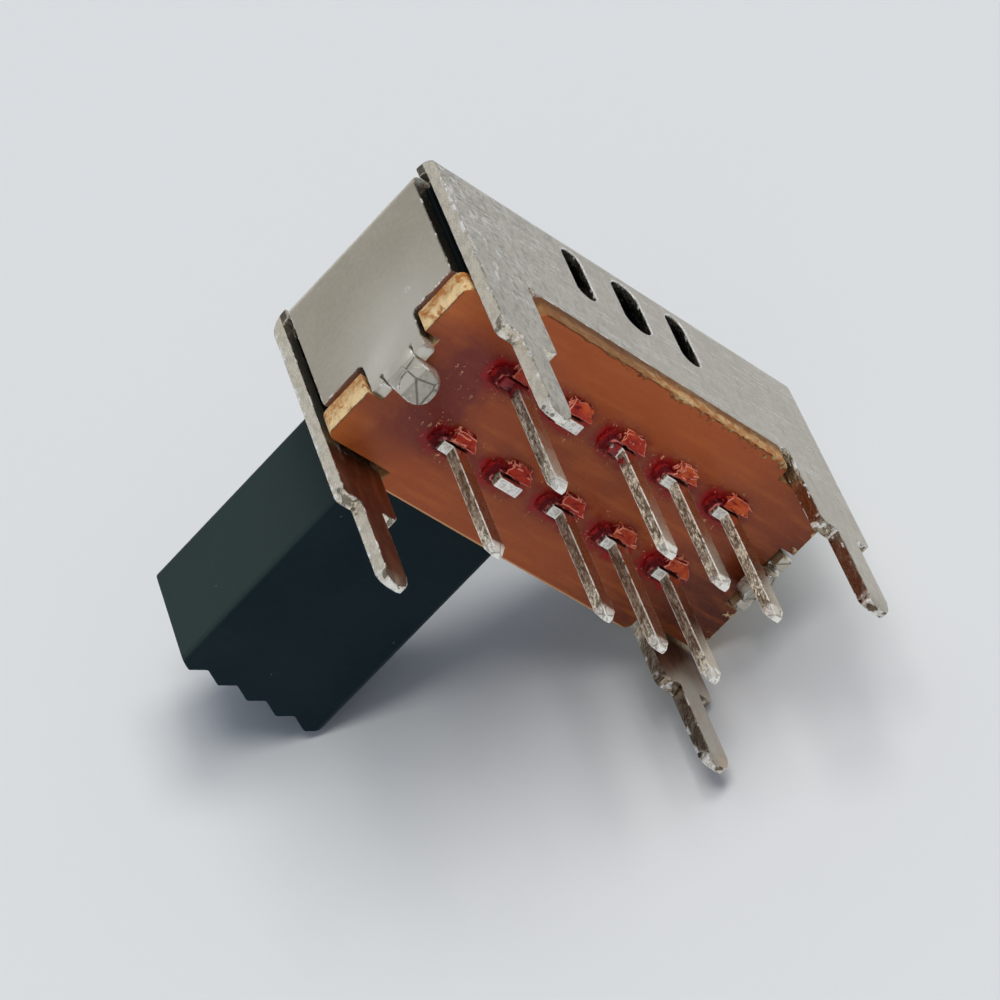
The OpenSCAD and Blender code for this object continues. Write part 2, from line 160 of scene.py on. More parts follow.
class Nodes:
    """A node tree with short calls for the nodes that the finishes use, at one position."""

    def __init__(self, tree, position=None):
        self.tree = tree
        self.position = position

    def add(self, kind, *links, **values):
        """Adds a node, sets its properties and inputs by name, and links sockets to inputs in order."""
        node = self.tree.nodes.new("ShaderNode" + kind)
        for name, value in values.items():
            if hasattr(node, name):
                setattr(node, name, value)
            else:
                node.inputs[name.replace("_", " ")].default_value = value
        for index, source in enumerate(links):
            self.feed(node.inputs[index], source)
        return node

    def feed(self, socket, source):
        """Links a socket, or sets a number, and leaves the input alone for None."""
        if source is None:
            return
        if isinstance(source, (int, float)):
            socket.default_value = source
        else:
            self.tree.links.new(source, socket)

    def math(self, operation, *values, clamp=False):
        return self.add("Math", *values, operation=operation, use_clamp=clamp).outputs[0]

    def chain(self, operation, values, clamp=False):
        """Puts two or more values together, from left to right."""
        total = values[0]
        for value in values[1:]:
            total = self.math(operation, total, value, clamp=clamp)
        return total

    def times(self, *values):
        return self.chain("MULTIPLY", values)

    def plus(self, *values, clamp=False):
        return self.chain("ADD", values, clamp)

    def minus(self, *values, clamp=False):
        return self.chain("SUBTRACT", values, clamp)

    def most(self, *values):
        return self.chain("MAXIMUM", values)

    def size(self, value):
        return self.math("ABSOLUTE", value)

    def smooth(self, value, low, high):
        """0 below low, 1 above high and a smooth step between; low may be above high."""
        node = self.add("MapRange", value, interpolation_type="SMOOTHSTEP", From_Min=low, From_Max=high)
        return node.outputs["Result"]

    def near(self, value, target, gone, full):
        """1 where the value is within full of the target, and 0 where it is further off than gone."""
        return self.smooth(self.size(self.minus(value, target)), gone, full)

    def noise(self, scale, detail=3.0, roughness=0.5, distortion=0.0, vector=None):
        values = {"Scale": scale, "Detail": detail, "Roughness": roughness, "Distortion": distortion}
        return self.add("TexNoise", vector or self.position, **values).outputs["Fac"]

    def sway(self, scale, amount, detail):
        """Noise round 0, as wide in all as the amount."""
        return self.times(self.minus(self.noise(scale, detail=detail), 0.5), amount)

    def cells(self, scale, feature="F1", vector=None):
        """Distance from the nearest point or edge of a pattern of cells."""
        node = self.add("TexVoronoi", vector or self.position, feature=feature, Scale=scale)
        return node.outputs["Distance"]

    def stretch(self, x, y, z, turn=(0, 0, 0), vector=None):
        """Scales the position by x, y and z, and turns it."""
        values = {"vector_type": "POINT", "Rotation": turn, "Scale": (x, y, z)}
        return self.add("Mapping", vector or self.position, **values).outputs[0]

    def drawn(self, scale, share, turn=(0, 0, 0), **values):
        """Noise with its position scaled along Z by a share, so that a small share draws it out."""
        return self.noise(scale, vector=self.stretch(1.0, 1.0, share, turn=turn), **values)

    def span(self, first, second):
        """Distance given by two parts at right angles."""
        squares = [self.math("POWER", part, 2.0) for part in (first, second)]
        return self.math("SQRT", self.plus(*squares))

    def reach(self, place):
        """Distance of the position from a place."""
        node = self.add("VectorMath", self.position, operation="DISTANCE")
        node.inputs[1].default_value = place
        return node.outputs["Value"]

    def noted(self, name):
        """The value noted on the mesh under a name."""
        return self.add("Attribute", attribute_name=name).outputs["Fac"]

    def normal(self):
        """The three parts of the face's own normal."""
        return self.apart(self.add("NewGeometry").outputs["True Normal"])

    def link(self, source, socket):
        self.tree.links.new(source, socket)

    def blend(self, share, first, second):
        """Mixes two colours; each is a socket or four numbers."""
        node = self.add("Mix", data_type="RGBA")
        self.feed(node.inputs["Factor"], share)
        for name, source in (("A", first), ("B", second)):
            socket = [s for s in node.inputs if s.name == name and s.type == "RGBA"][0]
            if hasattr(source, "node"):
                self.tree.links.new(source, socket)
            else:
                socket.default_value = source
        return [s for s in node.outputs if s.type == "RGBA"][0]

    def tint(self, under, over, mask, strength):
        """Lays a colour over another by a mask, and at most as far as the strength."""
        return self.blend(self.times(mask, strength), under, over)

    def apart(self, vector=None):
        """The three parts of a vector, or of the position."""
        return self.add("SeparateXYZ", vector or self.position).outputs

    def group(self, name, vector=None, **values):
        """A shared group by its name, which is built the first time that it is asked for."""
        if name not in GROUPS:
            GROUPS[name] = GROUP_MAKERS[name]()
        node = self.add("Group")
        node.node_tree = GROUPS[name]
        self.feed(node.inputs["Position"], vector or self.position)
        for key, value in values.items():
            self.feed(node.inputs[key], value)
        return node.outputs


def new_group(name, inputs, outputs):
    """A group that takes a position and numbers and gives numbers, with its helper, entry and exit."""
    tree = bpy.data.node_groups.new(name, "ShaderNodeTree")
    tree.interface.new_socket("Position", in_out="INPUT", socket_type="NodeSocketVector")
    for socket, default in inputs.items():
        made = tree.interface.new_socket(socket, in_out="INPUT", socket_type="NodeSocketFloat")
        made.default_value = default
    for socket in outputs:
        tree.interface.new_socket(socket, in_out="OUTPUT", socket_type="NodeSocketFloat")
    entry = tree.nodes.new("NodeGroupInput").outputs
    way_out = tree.nodes.new("NodeGroupOutput").inputs
    return tree, Nodes(tree, entry["Position"]), entry, way_out


def grid_group():
    """How far a place is from the middle of its row and from the nearest terminal, in millimetres."""
    tree, n, into, out = new_group("Terminal grid", {"Pitch": 2.5, "Row": 1.5}, ("Across", "Reach"))
    x, y = n.apart()[:2]
    nearest = n.math("SNAP", n.plus(x, n.times(into["Pitch"], 0.5)), into["Pitch"])
    across = n.minus(y, n.times(n.math("SIGN", y), into["Row"]))
    n.link(across, out["Across"])
    beside = n.most(n.minus(n.size(n.minus(x, nearest)), 0.4), 0.0)
    n.link(n.span(beside, across), out["Reach"])
    return tree


def pitting_group():
    """Fine pits and grain on rolled, plated or cut metal."""
    tree, n, into, out = new_group("Pitting", {"Scale": 8.0, "Depth": 0.5}, ("Height", "Mask"))
    coarse = n.add("TexNoise", n.position, Detail=4, Roughness=0.6)
    n.link(into["Scale"], coarse.inputs["Scale"])
    mask = n.smooth(coarse.outputs["Fac"], 0.42, 0.62)
    pits = n.add("TexVoronoi", n.position, feature="F1")
    n.link(n.times(into["Scale"], 1.7), pits.inputs["Scale"])
    height = n.plus(mask, n.times(n.smooth(pits.outputs["Distance"], 0.05, 0.35), 0.4))
    n.link(n.times(height, into["Depth"]), out["Height"])
    n.link(mask, out["Mask"])
    return tree


def scratch_group():
    """Fine scratches in three directions, broken up along their length."""
    tree, n, into, out = new_group("Scratches", {"Amount": 0.3}, ("Mask",))
    lines = []
    for turn, scale in ((0.6, 5.0), (-0.9, 7.0), (1.9, 4.0)):
        along = n.stretch(0.12, 1.6, 1.6, turn=(turn, turn * 0.7, turn))
        lines.append(n.smooth(n.noise(scale, detail=2, vector=along), 0.60, 0.66))
    n.link(n.times(n.most(*lines), into["Amount"]), out["Mask"])
    return tree


GROUP_MAKERS = {"grid": grid_group, "pitting": pitting_group, "scratches": scratch_group}
GROUPS = {}


def new_material(name, **values):
    """A material, its nodes with the position in millimetres, and its shader."""
    material = bpy.data.materials.new(name)
    material.use_nodes = True
    n = Nodes(material.node_tree)
    shader = material.node_tree.nodes["Principled BSDF"]
    for socket, value in values.items():
        shader.inputs[socket.replace("_", " ")].default_value = value
    place = n.add("VectorMath", n.add("TexCoord").outputs["Object"], operation="SCALE", Scale=1 / MM)
    n.position = place.outputs[0]
    return material, n, shader


def dress(n, shader, height, depth_mm, **sources):
    """Feeds sockets to the shader by name, and a height to its normal, where 1 stands out by the depth."""
    for name, source in sources.items():
        n.link(source, shader.inputs[name.replace("_", " ")])
    bump = n.add("Bump", Strength=1.0, Distance=depth_mm * MM)
    n.link(height, bump.inputs["Height"])
    n.link(bump.outputs[0], shader.inputs["Normal"])


# Finish of the shell. "at" gathers the masks, each 1 on the part that it is named for


def shell_masks(n):
    """Where the plates, cuts, legs, slots and tongues of the shell are."""
    at = SimpleNamespace(cut=n.noted("sheared"), rim=n.noted("rim"))
    at.x, at.y, at.z = n.apart()[:3]
    normal = n.normal()
    inside = n.smooth(n.size(at.y), SHELL_HIGH.y - SHEET + 0.03, SHELL_HIGH.y - SHEET - 0.01)
    at.end = n.times(n.smooth(n.size(at.x), SHELL_HIGH.x - 0.65, SHELL_HIGH.x - 0.52), inside)
    at.plate = n.minus(1.0, at.end)
    at.above_legs = n.smooth(at.z, 1.8, 2.6)
    at.legs = n.smooth(at.z, 2.3, 1.9)
    at.depth = n.minus(SHELL_HIGH.y, n.size(at.y))
    at.slots = n.times(n.smooth(n.size(at.x), 4.5, 4.3), n.smooth(at.z, 4.6, 4.8))
    # End-plate faces above the board's underside, whose cuts get painted shade
    at.hidden = n.times(at.end, n.smooth(at.z, BOARD_LOW.z - 0.1, BOARD_LOW.z + 0.1))
    # Near the roots of the tongues the end plates get a painted highlight
    root = n.reach((SHELL_HIGH.x, 0.6, BOARD_HIGH.z))
    at.pale = n.times(n.smooth(root, 4.2, 0.4), at.end)
    at.leg_backs = n.times(n.smooth(n.times(at.y, normal["Y"]), -2.8, -3.4), n.smooth(at.z, 2.9, 2.4))
    tongue = n.times(n.smooth(n.size(at.x), 7.0, 7.1), n.smooth(n.size(at.y), 1.6, 1.5))
    at.tongue = n.times(tongue, n.smooth(normal["Z"], -0.35, -0.6))
    return at


def shell_skin(n, at, settings):
    """Colour of the plated faces, with a painted highlight near the tongues' roots and painted reflection,
    highlights and shade on the backs of the legs.
    """
    pits = n.group("pitting", Scale=5.5, Depth=0.5)
    skin = n.blend(n.times(pits["Mask"], 0.34), settings.nickel, settings.nickel_dull)
    cloud = n.smooth(n.noise(0.45, detail=6, roughness=0.6), 0.36, 0.66)
    skin = n.tint(skin, settings.nickel_dull, cloud, 0.4)
    skin = n.tint(skin, srgb(182, 176, 168), at.plate, 0.4)
    mottle = n.smooth(n.drawn(5.5, 0.6, (0, 0.4, 0), detail=4, roughness=0.6), 0.5, 0.6)
    mottle = n.times(mottle, at.plate, n.smooth(at.x, -2.0, 7.0))
    skin = n.tint(skin, srgb(128, 124, 116), mottle, 0.4)
    scratches = n.group("scratches", Amount=0.6)["Mask"]
    at.lines = n.times(scratches, n.plus(n.times(at.plate, 0.8), 0.15), at.above_legs)
    skin = n.tint(skin, PALE_NICKEL, at.lines, 0.45)
    flakes = n.smooth(n.drawn(4.0, 0.4, (0, 0.3, 0), detail=4, roughness=0.6), 0.57, 0.61)
    at.flakes = n.times(flakes, n.smooth(at.x, 5.0, 8.0), at.plate, at.above_legs)
    skin = n.tint(skin, srgb(252, 250, 246), at.flakes, 0.5)
    skin = n.tint(skin, srgb(110, 102, 92), n.smooth(n.cells(1.1), 0.05, 0.03), 0.6)
    # A small ring left on one end plate by the tool that folded it
    ring = n.span(n.minus(at.y, RING_Y), n.minus(at.z, RING_Z))
    ring = n.near(ring, RING_RADIUS, 0.05, 0.02)
    at.ring = n.times(ring, n.smooth(at.x, SHELL_HIGH.x - 0.3, SHELL_HIGH.x - 0.1))
    skin = n.tint(skin, PALE_NICKEL, at.ring, 0.8)
    # The end plates are paler, and near the roots of their tongues they also get a painted highlight
    skin = n.tint(skin, srgb(236, 228, 208), at.end, 0.3)
    skin = n.tint(skin, srgb(255, 250, 238), at.pale, 0.7)
    # The backs of the legs get a painted brown reflection of the board, most near the board and on the legs
    # towards +X, painted highlight streaks, and painted shade higher up
    far = n.times(at.leg_backs, n.minus(0.75, n.times(n.smooth(at.x, 2.0, -2.0), 0.75)))
    near_board = n.times(at.leg_backs, n.smooth(at.z, -0.2, 1.4), 0.85)
    skin = n.blend(n.most(far, near_board), skin, srgb(122, 84, 62))
    streak = n.smooth(n.drawn(2.2, 0.25, (0, 0.2, 0), detail=4, roughness=0.6), 0.46, 0.62)
    skin = n.tint(skin, srgb(206, 176, 148), n.times(streak, at.leg_backs), 0.5)
    return n.tint(skin, srgb(64, 40, 30), n.times(at.leg_backs, n.smooth(at.z, 1.2, 2.4)), 0.6)


def shell_cuts(n, at, settings):
    """Colour of the sheared edges: painted shade in the slots and on the end plates' cuts, and a painted
    brown reflection of the board on the legs away from +X.
    """
    at.torn = n.group("pitting", n.stretch(1.0, 1.0, 0.6), Scale=4.0, Depth=1.0)
    edge = n.blend(n.times(at.torn["Mask"], 0.28), settings.sheared, srgb(150, 140, 126))
    # Painted shade deep in the slots
    edge = n.tint(edge, srgb(30, 28, 25), n.times(at.slots, n.smooth(at.depth, 0.03, 0.09)), 0.92)
    # A painted brown reflection of the board on the cut faces of the legs away from +X
    edge = n.tint(edge, srgb(128, 104, 80), n.times(n.smooth(at.x, 5.0, 4.0), at.legs), 0.7)
    # Painted shade on the end plates' cuts
    return n.tint(edge, srgb(84, 74, 64), at.hidden, 0.85)


def shell_marks(n, at, tone):
    """Lays the marks of the tools over the shell's colour, with painted shade in creases and folds and
    painted highlights on facets, burrs and slot lips.
    """
    # The faces of the end plates' tongues turned to -Z are greyer, and their claws and ears are scored, with
    # painted shade in the scored creases
    aside = n.add("VectorMath", n.position, operation="ADD")
    aside.inputs[1].default_value = (-0.34, 0.0, 0.0)
    crease = n.smooth(n.cells(0.95, "DISTANCE_TO_EDGE", aside.outputs["Vector"]), 0.035, 0.012)
    at.scored = n.times(crease, at.tongue)
    tone = n.tint(tone, srgb(174, 171, 162), at.tongue, 0.5)
    tone = n.tint(tone, srgb(72, 66, 58), at.scored, 0.6)
    # The shoulders and the tips of the legs are coined; their folds get painted shade, and their facets and
    # toes a painted highlight
    level = n.plus(at.z, n.sway(1.6, 0.9, detail=2))
    bare = n.most(at.cut, at.rim)
    toe = n.smooth(level, -3.1, -3.3)
    coined = n.times(n.most(n.near(level, 0.12, 0.42, 0.25), toe), bare)
    folds = n.noise(2.7, detail=2)
    at.fold = n.times(coined, n.smooth(folds, 0.52, 0.6))
    tone = n.tint(tone, srgb(92, 78, 62), at.fold, 0.75)
    facet = n.times(coined, n.smooth(folds, 0.44, 0.38))
    at.facet = n.most(facet, n.minus(n.times(toe, bare, 0.5), at.fold, clamp=True))
    tone = n.tint(tone, BRIGHT_STEEL, at.facet, 0.8)
    # Rims and the brinks of cuts get painted glints where they are burred, and the rims are darker in other
    # patches
    brink = n.times(n.smooth(at.depth, 0.16, 0.08), at.cut)
    burr = n.smooth(n.drawn(3.0, 0.6, roughness=0.6), 0.53, 0.6)
    at.burr = n.times(n.most(at.rim, brink), burr)
    tone = n.tint(tone, srgb(250, 249, 246), at.burr, 0.9)
    hollow = n.times(at.rim, n.smooth(n.noise(2.3), 0.44, 0.36))
    tone = n.tint(tone, srgb(120, 110, 98), hollow, 0.5)
    # The lips of the slots get a painted highlight
    at.lip = n.times(at.slots, at.rim, n.smooth(at.depth, 0.08, 0.05))
    return n.tint(tone, BRIGHT_STEEL, at.lip, 0.85)


def shell_relief(n, at):
    """Height of the shell's waves, pits, scores and notches."""
    fine = n.times(n.noise(14.0), 0.22)
    rolled = n.times(at.plate, n.minus(1.0, at.leg_backs))
    waves = n.drawn(2.4, 0.45, (0.2, 0.5, 0.3), detail=5, roughness=0.62)
    waves = n.times(waves, n.plus(n.times(rolled, 6.0), 0.35))
    face = n.minus(n.plus(fine, waves), n.times(at.lines, 0.3))
    rough = n.times(at.cut, n.times(at.torn["Height"], n.minus(0.7, n.times(at.legs, 0.5))))
    rough = n.minus(rough, at.scored, n.times(at.fold, 3.5))
    notched = n.times(at.rim, n.times(n.noise(3.4), 7.0))
    # The end plates swell a little above the claws
    swell = n.smooth(n.reach((SHELL_HIGH.x, 0, BOARD_LOW.z)), 1.9, 0.0)
    return n.plus(face, rough, notched, n.times(swell, 11.0), at.ring)


def nickel_finish(settings):
    """Dull nickel plate with grain and scratches; cut edges are plainer, with painted glints on their burrs.
    """
    material, n, shader = new_material("nickel_plate")
    at = shell_masks(n)
    skin = shell_skin(n, at, settings)
    tone = n.blend(at.cut, skin, shell_cuts(n, at, settings))
    tone = shell_marks(n, at, tone)
    # Cut and burred steel scatters light as well as mirroring it
    near_edge = n.times(at.cut, 0.3, n.smooth(at.x, 2.0, 4.0), n.minus(1.0, at.hidden))
    bright = n.most(at.burr, at.facet, n.times(at.flakes, 0.6), at.lip)
    end = n.times(at.end, n.plus(0.055, n.times(at.pale, 0.05)))
    metal = n.minus(1.0, n.most(near_edge, n.times(bright, 0.5), end))
    grain = n.times(n.noise(5.0, detail=5, roughness=0.6), 0.2)
    roughness = n.plus(grain, settings.roughness - 0.1)
    roughness = n.minus(roughness, n.times(at.lines, 0.12), n.times(at.cut, 0.06))
    roughness = n.minus(roughness, n.times(at.burr, 0.2), clamp=True)
    dress(n, shader, shell_relief(n, at), 0.016, Base_Color=tone, Metallic=metal, Roughness=roughness)
    return material


# Finish of the board


def resin_face(n, at, settings):
    """Colour of the glossy resin: darker in the middle and at one corner, paler where it thins out."""
    cloud = n.smooth(n.noise(0.3), 0.32, 0.7)
    dark = n.times(n.plus(n.times(cloud, 0.45), 0.35), n.smooth(n.size(at.y), 3.2, 1.6))
    face = n.blend(dark, settings.resin, settings.resin_dark)
    deep = n.most(n.times(n.smooth(at.y, 0.5, -4.2), 0.3), n.times(n.smooth(at.x, -3.0, -8.5), 0.5))
    face = n.blend(deep, face, srgb(112, 52, 30))
    face = n.tint(face, srgb(72, 30, 24), n.smooth(n.plus(at.x, at.y), -4.5, -10.0), 0.75)
    streaks = n.noise(1.6, detail=4, vector=n.stretch(0.3, 2.2, 2.2))
    face = n.tint(face, srgb(196, 108, 48), n.smooth(streaks, 0.42, 0.7), 0.32)
    outwards = n.plus(at.x, n.sway(0.8, 2.4, detail=2))
    thin = n.times(n.smooth(outwards, 7.2, 8.7), n.smooth(n.size(at.y), 1.6, 2.6))
    return n.tint(face, srgb(206, 116, 58), thin, 0.6)


def stained_face(n, at, settings, face):
    """Lays the varnish's stains and flecks over the resin, most at the terminals and towards +X."""
    grid = n.group("grid", Pitch=PITCH, Row=ROW_Y)
    within = n.smooth(n.size(at.x), 6.25, 6.1)
    between = n.plus(n.size(grid["Across"]), n.times(at.wander, 1.4))
    row = n.times(n.smooth(between, 0.75, 0.2), n.smooth(n.size(at.x), 6.4, 5.6))
    patchy = n.smooth(n.noise(0.9), 0.36, 0.6)
    face = n.tint(face, srgb(126, 34, 26), n.times(row, patchy), 0.6)
    stain = n.smooth(n.plus(grid["Reach"], n.times(at.wander, 1.2)), 1.0, 0.35)
    face = n.tint(face, settings.stain, n.times(stain, within), 0.8)
    flood = n.near(n.plus(at.x, n.times(at.wander, 2.2)), 6.3, 1.5, 0.5)
    flood = n.times(flood, n.smooth(n.size(at.y), 3.0, 1.4))
    face = n.tint(face, srgb(108, 30, 38), flood, 0.66)
    glow = n.smooth(n.plus(grid["Reach"], n.times(at.wander, 1.5)), 0.75, 0.4)
    face = n.tint(face, srgb(166, 18, 22), n.times(glow, within), 0.8)
    crowd = n.times(n.smooth(grid["Reach"], 1.3, 0.6), within)
    size = n.plus(0.012, n.times(n.most(crowd, n.times(flood, 0.7)), 0.11))
    astray = n.add("VectorMath", n.position, n.noise(5.0), operation="ADD").outputs["Vector"]
    spots = []
    for scale, turn in ((2.2, 0.4), (3.1, 1.1), (4.4, 2.0)):
        centre = n.cells(scale, vector=n.stretch(1.0, 0.34, 1.0, (0, 0, turn), astray))
        spots.append(n.smooth(n.minus(centre, size), 0.012, -0.012))
    at.fleck = n.most(*spots)
    return n.tint(face, srgb(248, 178, 130), at.fleck, 0.85)


def paper_fibres(n, at, settings):
    """Colour of the paper in the cut sides: clumped, palest low down at the ends, dark in the middle, with
    painted shade along the top of the long sides next to the shell's plates.
    """
    at.layers = n.drawn(2.6, 1.5, detail=7, roughness=0.72, distortion=0.6)
    fibres = n.blend(n.smooth(at.layers, 0.42, 0.58), settings.paper, srgb(176, 112, 56))
    at.clumps = n.noise(1.7, detail=6, roughness=0.7, distortion=0.8)
    at_end = n.smooth(n.size(at.x), 7.7, 7.9)
    clumped = n.times(n.smooth(at.clumps, 0.54, 0.62), n.minus(0.8, n.times(at_end, 0.3)))
    fibres = n.blend(clumped, fibres, srgb(168, 96, 42))
    pale = n.smooth(n.minus(at.z, n.times(at.ragged, 0.9)), BOARD_LOW.z + 0.3, BOARD_LOW.z - 0.1)
    pale = n.times(pale, at_end, n.smooth(at.clumps, 0.6, 0.5))
    fibres = n.blend(pale, fibres, srgb(236, 206, 154))
    amid = n.smooth(n.size(at.x), 8.0, 7.9)
    plain = n.smooth(n.plus(at.x, n.times(at.wander, 3.0)), -1.0, 2.5)
    fibres = n.tint(fibres, srgb(132, 88, 52), n.times(plain, amid), 0.75)
    # Painted shade along the top of the long sides, next to the shell's plates
    upper = n.times(amid, n.smooth(at.z, BOARD_LOW.z + 0.35, BOARD_LOW.z + 0.75))
    return n.tint(fibres, srgb(92, 56, 34), upper, 0.7)


def laminate_finish(settings):
    """Glossy brown resin with paper fibres in its cut edges and red stains round the terminals."""
    material, n, shader = new_material("phenolic_laminate", Specular_IOR_Level=0.25)
    at = SimpleNamespace(ragged=n.noise(2.4, detail=6, roughness=0.68))
    at.wander = n.minus(at.ragged, 0.5)
    at.x, at.y, at.z = n.apart()[:3]
    face = resin_face(n, at, settings)
    face = stained_face(n, at, settings, face)
    front_edge = n.smooth(n.minus(at.y, BOARD_LOW.y), 0.09, 0.03)
    face = n.tint(face, srgb(236, 190, 136), front_edge, 0.6)
    # Paper shows on the cut sides, and where the resin has chipped off the arris
    side = n.smooth(n.size(n.normal()["Z"]), 0.75, 0.5)
    arris = n.math("MINIMUM", n.minus(BOARD_HIGH.y, at.y), n.minus(BOARD_HIGH.x, n.size(at.x)))
    bite = n.plus(n.times(n.smooth(at.x, 4.5, -3.0), 0.3), 0.05)
    bite = n.times(n.smooth(at.ragged, 0.46, 0.68), bite)
    paper = n.most(side, n.smooth(n.minus(arris, bite), 0.06, 0.0))
    tone = n.blend(paper, face, paper_fibres(n, at, settings))
    roughness = n.plus(0.2, n.times(paper, 0.55), n.times(n.noise(2.5, detail=4), 0.16))
    ripple = n.plus(n.times(n.noise(0.8), 0.7), n.times(at.fleck, 0.35))
    torn = n.times(paper, n.plus(n.times(at.layers, 3.0), n.times(at.clumps, 4.0)))
    dress(n, shader, n.plus(ripple, torn), 0.03, Base_Color=tone, Roughness=roughness)
    return material


# Finishes of the terminals, the varnish, the slider and the bare inner parts


def sheared_tin(n, at):
    """Colour of the sheared faces: torn along the strip, browner above the tips and in the front row, where a
    painted reflection of the board lies over brown blotches.
    """
    edge = n.blend(n.times(at.torn, 0.65), srgb(255, 246, 222), srgb(116, 98, 70))
    edge = n.tint(edge, srgb(92, 76, 52), at.grit, 0.45)
    # The brown blotches are stronger above the tips, as a painted reflection of the board
    brown = n.times(at.blotch, n.minus(0.4, n.times(n.smooth(at.z, -1.2, -2.6), 0.35)))
    edge = n.blend(brown, edge, srgb(112, 84, 60))
    tear = n.drawn(4.2, 0.26, (0.3, 0, 0), roughness=0.6, distortion=0.4)
    edge = n.tint(edge, srgb(78, 58, 38), n.near(tear, 0.5, 0.045, 0.012), 0.75)
    # A painted brown reflection of the board near it, strongest in the front row
    dim = n.plus(n.times(n.smooth(at.y, 0.3, -0.3), 0.45), 0.12)
    return n.blend(n.times(dim, n.smooth(at.z, -2.6, -1.2)), edge, srgb(118, 84, 60))


def daubed_tin(n, at):
    """Where varnish has run over the rear shoulders of place 1 and, in part, of place 3."""
    ragged = n.sway(2.2, 1.4, detail=4)
    along = n.plus(at.x, ragged)
    places = n.most(n.smooth(along, 4.1, 4.4), n.near(along, 0.42, 0.34, 0.22))
    return n.times(places, n.smooth(at.y, 0.9, 1.0), n.smooth(n.plus(at.z, ragged), 1.5, 2.0))


def tin_finish(settings):
    """Tinned strip: smooth rolled faces across Y, rough sheared faces across X."""
    material, n, shader = new_material("tinned_strip")
    normal = n.normal()
    at = SimpleNamespace(cut=n.smooth(n.size(normal["X"]), 0.5, 0.8))
    at.x, at.y, at.z = n.apart()[:3]
    flat_end = n.smooth(n.size(normal["Z"]), 0.5, 0.8)
    tears = n.drawn(5.6, 0.34, (0.35, 0, 0), detail=5, roughness=0.62)
    at.torn = n.smooth(tears, 0.45, 0.58)
    at.blotch = n.smooth(n.drawn(1.8, 0.5, detail=4), 0.4, 0.66)
    at.grit = n.smooth(n.drawn(9.0, 0.6, detail=4, roughness=0.6), 0.44, 0.6)
    face = n.blend(n.times(at.blotch, 0.3), settings.tin, settings.tin_dull)
    tone = n.blend(at.cut, face, sheared_tin(n, at))
    ends = n.blend(at.grit, srgb(252, 251, 247), srgb(214, 208, 198))
    tone = n.tint(tone, ends, flat_end, 0.85)
    # The tips are pinched off; their facets get a painted highlight and the folds between them painted shade,
    # and the rims get painted glints
    tip = n.smooth(n.plus(at.z, n.times(n.noise(2.9, detail=2), 0.5)), -2.3, -2.5)
    tone = n.tint(tone, srgb(252, 249, 240), tip, 0.75)
    crease = n.times(tip, n.smooth(n.cells(1.9, "DISTANCE_TO_EDGE"), 0.07, 0.03))
    tone = n.tint(tone, srgb(96, 82, 62), crease, 0.5)
    glint = n.times(n.noted("rim"), n.smooth(n.noise(2.4), 0.34, 0.46))
    tone = n.tint(tone, srgb(255, 250, 238), glint, 0.95)
    daubed = daubed_tin(n, at)
    red = n.blend(n.smooth(n.noise(3.0), 0.4, 0.6), srgb(94, 8, 20), srgb(150, 30, 36))
    tone = n.blend(daubed, tone, red)
    ridge = n.times(at.cut, n.minus(0.75, n.times(at.torn, 0.3)))
    matt = n.most(daubed, ridge, n.times(glint, 0.6), n.times(n.most(tip, flat_end), 0.5))
    metal = n.minus(1.0, matt)
    roughness = n.plus(0.2, n.times(n.noise(1.6, detail=1), 0.16), n.times(flat_end, 0.12))
    fine = n.times(n.noise(9.0), 0.12, at.cut)
    height = n.plus(fine, n.times(at.cut, n.times(tears, 3.6)))
    height = n.minus(height, n.times(at.cut, n.times(at.grit, 1.2)))
    uneven = n.plus(n.times(n.most(at.cut, flat_end), 0.4), 0.03)
    height = n.times(n.plus(height, n.times(at.blotch, uneven)), n.plus(uneven, 0.5))
    dress(n, shader, height, 0.022, Base_Color=tone, Metallic=metal, Roughness=roughness)
    return material


